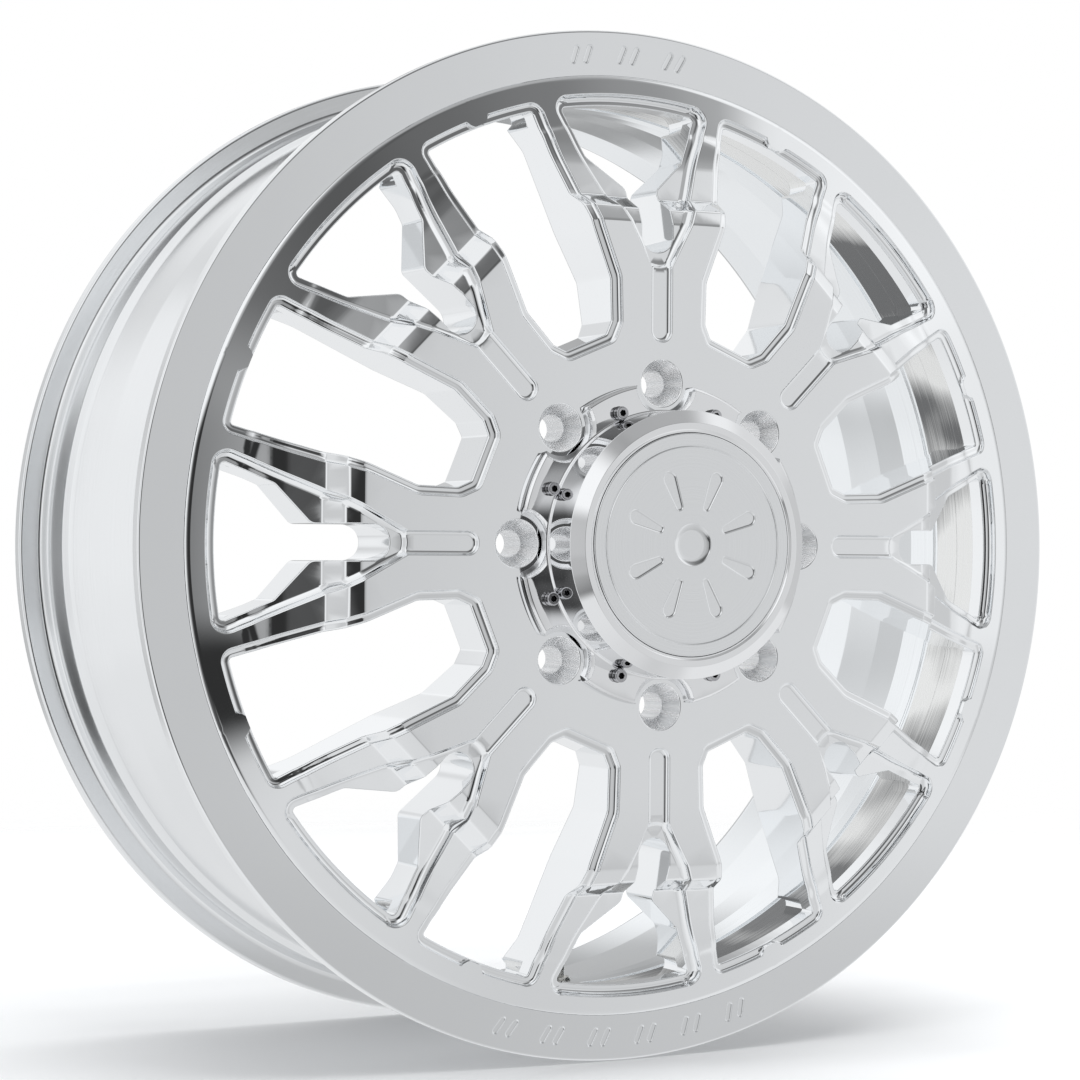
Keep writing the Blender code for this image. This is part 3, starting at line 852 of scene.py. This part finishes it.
def build_barrel():
    lip_in, lip_out = LIP_INNER + 0.05, 322.9
    outside = rounded([
        (lip_out, 0.0, 0), (324.7, 0.0, 1.5), (324.7, -10.6, 3.2), (310.0, -13.2, 5.0), (306.6, -19.0, 4.0),
        (305.4, -33.6, 2.5), (306.9, -37.0, 1.8), (304.0, -41.4, 3.0), (291.5, -53.0, 7.0), (291.5, -92.0, 40.0),
        (299.0, -140.0, 60.0), (303.3, -184.0, 12.0), (306.9, -190.5, 2.0), (305.6, -196.5, 2.5),
        (307.4, -216.0, 4.0), (310.6, -222.5, 4.0), (324.7, -223.0, 2.2), (324.7, -234.0, 2.2),
        (301.6, -234.0, 2.0), (298.8, -226.0, 8.0), (298.4, -188.0, 30.0), (293.4, -140.0, 60.0),
        (288.2, -101.0, 4.0), (287.6, -82.0, 1.2), (285.4, -80.4, 0.8), (285.4, -70.2, 0.8), (286.7, -69.2, 0.8),
        (286.7, -66.4, 0.8), (285.5, -65.2, 0.8), (285.5, -42.0, 0.8), (287.0, -40.35, 0.3), (lip_in, -40.35, 0),
    ], closed=False, turn=7.0, longest=9.0)
    net = Net()
    net.turn(np.concatenate((outside, [(lip_in, -1.1)]))[::-1], 288, closed=False)
    marks = lip_marks()
    edges = [circle(lip_out, 288), circle(lip_in + 0.5, 288)]
    spots = np.concatenate([circle(r, 144, first=0.01 * k) for k, r in enumerate((300.5, 319.5))])
    net.fill(edges + marks, [], spots, lambda p: between(p, lip_in + 0.5, lip_out, marks), level(0.0), upright)
    edge = [(lip_in, -1.1), (lip_in + 0.04, -0.34), (lip_in + 0.14, -0.15), (lip_in + 0.3, -0.04), (lip_in + 0.5, 0.0)]
    net.turn(edge, 288, closed=False)
    for loop in marks:
        net.recess(loop, 0.0, [(0, 0), (0.12, 0.03), (0.24, 0.14), (0.34, 0.4), (0.5, 0.62), (0.85, 0.75), (1.3, 0.8)])
    barrel = finished("barrel_forging", net, barrel_metal, "wheel", ["rim_barrel"], sharp=32)
    for look in (lip_metal, fitted_metal_painted_reflection, barrel_outside_painted_shade):
        barrel.data.materials.append(look)
    for face in barrel.data.polygons:
        spot, way = face.center, face.normal
        inwards = way.x * spot.x + way.z * spot.z < 0
        if spot.y < -0.0738 and way.y < -0.2:
            face.material_index = 1
        # Inward faces just behind the disc take the brushed metal with painted reflection patches.
        elif inwards and -0.0345 < spot.y < -0.0099:
            face.material_index = 2
        # Outward faces take the darker copy of the barrel metal: painted shade.
        elif not inwards:
            face.material_index = 3


# ---------------- centre cap

FLANGE_R, FLANGE_Z = table([(70, FLANGE_TOP, 0), (98.2, FLANGE_TOP, 1.2), (99.8, 49.9, 0.3), (101.0, 48.6, 0)])


def flange_height(x, y):
    return np.interp(np.hypot(x, y), FLANGE_R, FLANGE_Z)


def flange_edges():
    """The scalloped edge of the cap's flange: on its top, and on its base."""
    top, base, out = [], [], []
    for k in range(SPOKES):
        centre = np.array((LUG_CIRCLE, 0.0))
        for way in polar(1.0, np.radians(np.linspace(258, 102, 45))):
            reach = 20.0
            for _ in range(12):  # settles where the scallop's cone meets the flange's top
                p = centre + way * reach
                reach = 17.3 + 0.78 * (float(flange_height(*p)) - CAP_BASE)
            p, q = centre + way * reach, centre + way * 17.3
            if np.hypot(*p) < 99.4 and np.hypot(*q) < 100.0:
                for found, points in ((p, top), (q, base), (-way, out)):
                    points.append(turned_by([found], PITCH * k)[0])
        for a in np.linspace(11.6, 33.4, 17):
            way = turned_by([(1.0, 0.0)], math.radians(a) + PITCH * k)[0]
            top.append(way * 99.6)
            base.append(way * 100.0)
            out.append(way)
    return np.array(top), np.array(base), np.array(out)


def build_cap():
    net = Net()
    top, base, out = flange_edges()
    inner, hidden = 83.4, 81.0
    centres = circle(SCREW_CIRCLE, SPOKES, first=HALF_PITCH)
    holes = [circle(4.4, 20, centre) for centre in centres]
    circles = [circle(r, AROUND) for r in FLANGE_R if 85 < r < 99.9] + [circle(inner, AROUND)]
    net.fill(
        [top] + circles + holes, [], [], lambda p: within(top, p) & between(p, inner, 200.0, holes), flange_height,
        lambda p: slope_normals(p, flange_height, 0.2),
    )
    height = flange_height(*top.T)
    rings = [raised(top + out * move, height - drop) for move, drop in ((0, 0), (0.16, 0.05), (0.28, 0.2), (0.32, 0.4))]
    base_edge = base - out * 0.2
    rings += [raised(base, CAP_BASE + 0.2), raised(base_edge, CAP_BASE)]
    net.strips([r[::-1] for r in rings[::-1]])
    for loop in holes:
        net.recess(loop, FLANGE_TOP, [(0, 0), (0.15, 0.05), (0.25, 0.3), (0.25, 5.6)], floor=False)
    net.fill(
        [base_edge, circle(hidden, AROUND)], [], [], lambda p: within(base_edge, p) & between(p, hidden, 200.0),
        level(CAP_BASE), down=True,
    )
    face = rounded([
        (inner, FLANGE_TOP, 0), (82.0, FLANGE_TOP, 1.35), (82.0, 79.0, 0.5), (74.2, 84.0, 0.5), (70.4, 84.0, 0.35),
        (69.4, 83.3, 0.35), (68.3, 83.3, 0.25), (68.3, 80.7, 0), (0.0, 80.7, 0),
    ], closed=False, turn=12.0, longest=7.0)
    net.turn(face, AROUND, closed=False)
    inside = rounded([
        (0, 75.0, 0), (69.0, 75.0, 2.0), (76.0, 76.0, 3.0), (76.0, 56.3, 2.0), (66.8, 49.6, 1.0), (66.8, 39.3, 0.6),
        (70.8, 39.3, 0.8), (70.8, 45.3, 0.3), (77.0, 45.3, 0.3), (77.0, 47.7, 0), (hidden, 47.7, 0), (hidden, 45.3, 0),
    ], closed=False, turn=12.0, longest=9.0)
    net.turn_open(inside, AROUND)
    finished("cap_body", net, cap_chrome, "cap", ["center_cap"], sharp=34)


def build_badge():
    """Satin disc with a plain ornament: a turned ring, eight oval dimples and one in the centre."""
    net = Net()
    edge, hub = 67.2, circle(13.0, 96)
    ring_out, ring_in = circle(61.0, 200), circle(59.2, 200)
    oval = rounded([(22.0, -2.6, 2.5), (48.0, -5.6, 5.4), (48.0, 5.6, 5.4), (22.0, 2.6, 2.5)], turn=10.0, longest=3.0)
    dimples = [anticlockwise(turned_by(oval, HALF_PITCH * (2 * k + 1))) for k in range(SPOKES)]
    net.fill(
        [circle(edge, AROUND), ring_out, ring_in, hub] + dimples, [], [],
        lambda p: between(p, 13.0, edge, dimples) & ~between(p, 59.2, 61.0), level(BADGE_TOP), upright,
    )
    for loop in dimples:
        net.recess(loop, BADGE_TOP, [(0, 0), (0.15, 0.04), (0.3, 0.16), (0.6, 0.42), (1.0, 0.62), (1.6, 0.72)])
    net.recess(ring_out, BADGE_TOP, [(0, 0), (0.15, 0.04), (0.28, 0.16), (0.45, 0.4), (0.9, 0.5)], floor=False)
    net.recess(hub, BADGE_TOP, [(0, 0), (0.15, 0.04), (0.3, 0.16), (0.7, 0.45), (2.0, 0.9), (5.0, 1.4)])
    inner = [(59.2, BADGE_TOP), (59.35, 83.94), (59.48, 83.82), (59.65, 83.58), (60.1, 83.48)]
    net.turn_open(inner[::-1], 200)
    side = rounded([(edge, BADGE_TOP, 0), (68.0, BADGE_TOP, 0.8), (68.0, 81.0, 0), (0, 81.0, 0)], closed=False, turn=15)
    net.turn_open(side[::-1], AROUND)
    finished("badge_face", net, badge_metal, "cap", ["cap_badge_disc"], sharp=30)


SCREW_STEPS = 72


def screw_cut(radius, height, angles):
    """Depth of the knurl on the screw's head and of the thread on its shank."""
    thread = 0.22 * (1 - abs(2 * ((height / 0.9) % 1.0) - 1)) if height < -0.6 and radius > 2.4 else 0.0
    knurl = 0.09 if 0.5 < height < 3.7 and radius > 4.0 else 0.0
    return thread + knurl * (0.5 + 0.5 * np.cos(angles * SCREW_STEPS / 2))


def build_screw(index):
    """Socket-head screw with a knurled head and a hexagon socket."""
    net = Net()
    head, top = 3.3, 4.6
    corners = [(x, y, 0.12) for x, y in circle(2.3, 6)]
    hexagon = anticlockwise(rounded(corners, turn=30, longest=0.5))
    rim = circle(head, SCREW_STEPS)
    net.fill([rim, hexagon], [], [], lambda p: between(p, -1.0, head, [hexagon]), level(top), upright)
    net.recess(hexagon, top, [(0, 0), (0.06, 0.02), (0.12, 0.1), (0.14, 0.3), (0.14, 2.2), (0.5, 2.5)])
    side = rounded([
        (head, top, 0), (4.1, top, 0.7), (4.1, 0.0, 0.25), (2.5, 0.0, 0.2), (2.5, -13.2, 0), (1.7, -14.0, 0),
        (0, -14.0, 0),
    ], closed=False, turn=15, longest=0.55)
    net.turn_fluted(side, SCREW_STEPS, screw_cut)
    whole = Net()
    whole.add_turned(net, HALF_PITCH * (2 * index + 1), (SCREW_CIRCLE, 0.0, 51.3))
    name = f"cap_screw_{index + 1}"
    screw = finished(f"screw_{index + 1}", whole, screw_metal, name, [name], sharp=32)
    screw.data.materials.append(socket_metal)
    centre = STAND @ Vector((*circle(SCREW_CIRCLE, SPOKES, first=HALF_PITCH)[index], 0))
    for face in screw.data.polygons:
        off = math.hypot(face.center.x - centre.x, face.center.z - centre.z)
        face.material_index = 1 if off < 0.0023 and -0.1308 < face.center.y < -0.12 else 0


# ---------------- tyre valve

VALVE = STAND @ Matrix.Translation((-12.0, -290.3, -64.0)) @ Matrix.Rotation(math.radians(-90), 4, "X")
VALVE_WALL = 4.0
VALVE_LENGTH = 36.0


def valve_cap_cut(radius, height, angles):
    """Depth of the 24 grip flutes on the valve cap."""
    return 0.28 * (0.5 + 0.5 * np.cos(angles * 24)) if 28.4 < height < 36.8 and radius > 2.0 else 0.0


def valve_piece(name, net, material, node, sharp=40, body="wheel"):
    finished(name, net, material, body, [node], VALVE, sharp)


def build_valve():
    net = Net()
    stem = [(3.35, VALVE_LENGTH), (3.85, 35.5), (3.85, 26.0), (4.0, 25.0), (4.0, -2.6), (8.6, -2.6), (9.2, -3.2),
            (9.2, -4.6), (8.6, -5.2), (2.0, -5.2), (2.0, 15.0), (2.6, 16.0), (2.6, VALVE_LENGTH)]
    profile = []
    for radius, height in split_long([np.array(p) for p in stem], 0.4, True):
        threaded = (26.4 < height < 35.2 and radius > 3.7) or (5.8 < height < 15.0 and 3.7 < radius < 4.1)
        groove = 0.28 * abs(2 * ((height / 0.8) % 1.0) - 1) if threaded else 0.0
        profile.append((radius - groove, height))
    net.turn(profile, 48)
    valve_piece("valve_stem_body", net, nickel, "valve_stem")

    net = Net()
    net.turn(rounded([
        (5.45, VALVE_WALL - 0.3, 0.3), (5.45, -0.3, 0.2), (8.4, -0.3, 0.4), (8.8, -0.9, 0.4), (8.8, -2.3, 0.5),
        (4.3, -2.3, 0), (4.3, VALVE_WALL - 0.3, 0),
    ], turn=15), 64)
    valve_piece("valve_grommet_ring", net, rubber, "valve_grommet")

    net = Net()
    net.turn(rounded([(8.5, 5.5, 0.35), (8.5, 4.3, 0.2), (4.3, 4.3, 0), (4.3, 5.5, 0.2)], turn=15), 64)
    valve_piece("valve_washer_ring", net, nickel, "valve_washer")

    # hexagon nut, 14 mm across its flats, with its corners turned off at 30 degrees top and bottom
    net = Net()
    angles = angles_round(96)
    across = np.minimum(7.98, 7.0 / np.cos((angles + math.pi / 6) % (math.pi / 3) - math.pi / 6))
    corner = (across - 6.9) * math.tan(math.pi / 6)
    low, high = VALVE_WALL + 1.8, VALVE_WALL + 6.8
    net.strips([raised(polar(radius, angles), height) for radius, height in (
        (7.0, low), (across, low + corner), (across, high - corner), (7.0, high), (5.0, high), (4.3, high - 0.7),
        (4.3, low + 0.7), (5.0, low), (7.0, low),
    )])
    valve_piece("valve_nut_hexagon", net, nickel, "valve_nut", 25, "valve_nut")

    net = Net()
    cap = rounded([
        (0, 39.2, 0), (4.6, 39.2, 0.3), (5.25, 38.5, 0.3), (5.25, 27.4, 0.3), (4.2, 27.4, 0.2), (4.2, 37.4, 0),
        (0, 37.4, 0),
    ], closed=False, turn=15, longest=0.8)
    net.turn_fluted(cap, 144, valve_cap_cut)
    valve_piece("valve_cap_shell", net, nickel, "valve_cap", 32, "valve_cap")


build_center()
build_barrel()
build_cap()
build_badge()
for screw_number in range(SPOKES):
    build_screw(screw_number)
build_valve()
for node, look in (
    ("cap_seal_ring", rubber), ("valve_core_body", brass), ("valve_core_pin", brass),
    ("valve_core_spring", spring_metal), ("valve_cap_seal", rubber),
):
    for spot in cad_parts[node].material_slots:
        spot.material = look


# ---------------- floor, light and camera

def build_floor():
    """A pale floor that fades into the white studio away from the wheel."""
    mesh = bpy.data.meshes.new("studio_floor")
    work = bmesh.new()
    bmesh.ops.create_grid(work, x_segments=24, y_segments=24, size=9.0)
    work.to_mesh(mesh)
    work.free()
    floor = add_object("studio_floor", mesh)
    floor.location = (0, 0, cad_box[0].z - 0.0004)
    floor.visible_glossy = False
    look = Look("pale_floor", Metallic=0.0, Specular_IOR_Level=0.3)
    soft = look.noise(3.0, 3.0, 0.5, stretch=(0.5, 4.0, 1.0))
    look.rough(soft, 0.32, 0.45)
    look.tint(soft, (0.93, 0.94, 0.95), (0.95, 0.957, 0.965))
    x, y, _ = look.parts()
    look.link(look.smooth(look.distance(x, y), 2.1, 0.7), "Alpha")
    mesh.materials.append(look.material)


def build_world():
    """A white studio with a few soft dark flags, which the polished metal mirrors."""
    world = bpy.data.worlds.new("studio")
    bpy.context.scene.world = world
    world.use_nodes = True
    world.node_tree.nodes.clear()
    sky = Nodes(world.node_tree)
    x, y, z = sky.node("ShaderNodeSeparateXYZ", {0: sky.node("ShaderNodeTexCoord").outputs["Generated"]}).outputs
    turn = sky.math("ARCTAN2", x, sky.times(y, -1.0))
    share = sky.math("ADD", sky.times(turn, 1 / (2 * math.pi)), 0.5)
    height = sky.times(sky.math("ARCSINE", z), 180 / math.pi)

    def ramp(stops):
        made = sky.node("ShaderNodeValToRGB", {0: share})
        made.color_ramp.interpolation = "EASE"
        points = made.color_ramp.elements
        while len(points) > 1:
            points.remove(points[0])
        for i, (azimuth, tone) in enumerate(stops):
            spot = points[0] if i == 0 else points.new((azimuth + 180) / 360)
            spot.position = (azimuth + 180) / 360
            spot.color = (tone, tone * 1.01, tone * 1.02, 1)
        return made.outputs[0]

    light = ramp(BANDS[0][2])
    for low, high, stops in BANDS[1:]:
        light = sky.mix(sky.smooth(height, low, high), light, ramp(stops))
    light = sky.mix(sky.node("ShaderNodeLightPath").outputs["Is Camera Ray"], light, (1, 1, 1, 1))
    back = sky.node("ShaderNodeBackground", {0: light, 1: 1.0})
    sky.node("ShaderNodeOutputWorld", {0: back.outputs[0]})


# (low, high, [(azimuth, brightness)]): each band takes over from the last between two elevations, in degrees
BANDS = [
    (-90, -90, [(-180, 0.82), (-60, 0.88), (-30, 0.8), (0, 0.72), (25, 0.64), (45, 0.68), (60, 0.82), (180, 0.82)]),
    (-28, -23, [
        (-180, 0.85), (-60, 0.9), (-38, 0.5), (-30, 0.1), (-15, 0.06), (-8, 0.5), (0, 0.72), (25, 0.6), (45, 0.68),
        (60, 0.8), (180, 0.85),
    ]),
    (-17, -13, [
        (-180, 0.62), (-165, 0.52), (-155, 0.9), (-110, 0.9), (-92, 0.6), (-72, 0.66), (-60, 0.9), (-36, 0.5),
        (-30, 0.1), (-22, 0.03), (-4, 0.03), (3, 0.12), (12, 0.4), (20, 0.52), (35, 0.6), (60, 0.8), (80, 0.62),
        (100, 0.6), (116, 0.85), (140, 0.9), (156, 0.34), (172, 0.86), (180, 0.62),
    ]),
    (-8, -4, [
        (-180, 0.7), (-163, 0.58), (-155, 0.92), (-110, 0.94), (-92, 0.6), (-72, 0.66), (-60, 0.95), (-46, 0.85),
        (-36, 0.55), (-30, 0.1), (-22, 0.03), (-11, 0.03), (-4, 0.36), (5, 0.45), (20, 0.57), (30, 0.69), (38, 0.74),
        (50, 0.86), (62, 0.88), (76, 0.8), (84, 0.62), (100, 0.6), (116, 0.9), (140, 0.9), (148, 0.4), (158, 0.5),
        (170, 0.82), (180, 0.7),
    ]),
    (11, 20, [
        (-180, 0.92), (-163, 0.75), (-155, 0.95), (-110, 0.95), (-92, 0.74), (-72, 0.78), (-60, 0.96), (-28, 1.0),
        (-14, 0.4), (-4, 0.15), (6, 0.1), (14, 0.14), (27, 0.2), (36, 0.3), (43, 0.4), (49, 0.85), (62, 1.0),
        (76, 0.9), (84, 0.74), (100, 0.72), (116, 0.9), (140, 0.9), (154, 0.35), (168, 0.97), (180, 0.92),
    ]),
    (44, 56, [(-180, 0.9), (-40, 0.92), (-10, 0.42), (60, 0.45), (90, 0.9), (180, 0.9)]),
]


def build_light():
    """One wide soft lamp above the wheel, which its metal doesn't mirror."""
    lamp = bpy.data.lights.new("top_softbox", "AREA")
    lamp.shape = "SQUARE"
    lamp.size = 3.0
    lamp.energy = 95.0
    item = add_object("top_softbox", lamp)
    item.location = (0.3, -0.5, 3.0)
    item.rotation_mode = "QUATERNION"
    item.rotation_quaternion = (-item.location).to_track_quat("-Z", "Y")
    item.visible_glossy = False


def build_camera():
    """The photograph's viewpoint: 27.6 degrees to the wheel's left, a long lens."""
    azimuth, elevation, roll = -0.4817, -0.0080, 0.0062
    level_back = Vector((math.sin(azimuth), -math.cos(azimuth), 0)) * math.cos(elevation)
    back = level_back + Vector((0, 0, math.sin(elevation)))
    right = Vector((math.cos(azimuth), math.sin(azimuth), 0))
    up = back.cross(right)
    c, s = math.cos(roll), math.sin(roll)
    right, up = c * right + s * up, -s * right + c * up
    camera = bpy.data.cameras.new("camera")
    camera.sensor_width = 36.0
    camera.lens = 98.98
    camera.clip_start, camera.clip_end = 0.05, 60.0
    item = add_object("camera", camera)
    lip_radius = 0.3247
    place = (right * -0.1658 + up * 0.0099 + back * 5.7793) * lip_radius + Vector((0, -0.075, 0))
    item.matrix_world = Matrix.Translation(place) @ Matrix((right, up, back)).transposed().to_4x4()
    bpy.context.scene.camera = item


build_floor()
build_world()
build_light()
build_camera()
bpy.context.scene.view_settings.view_transform = "Standard"
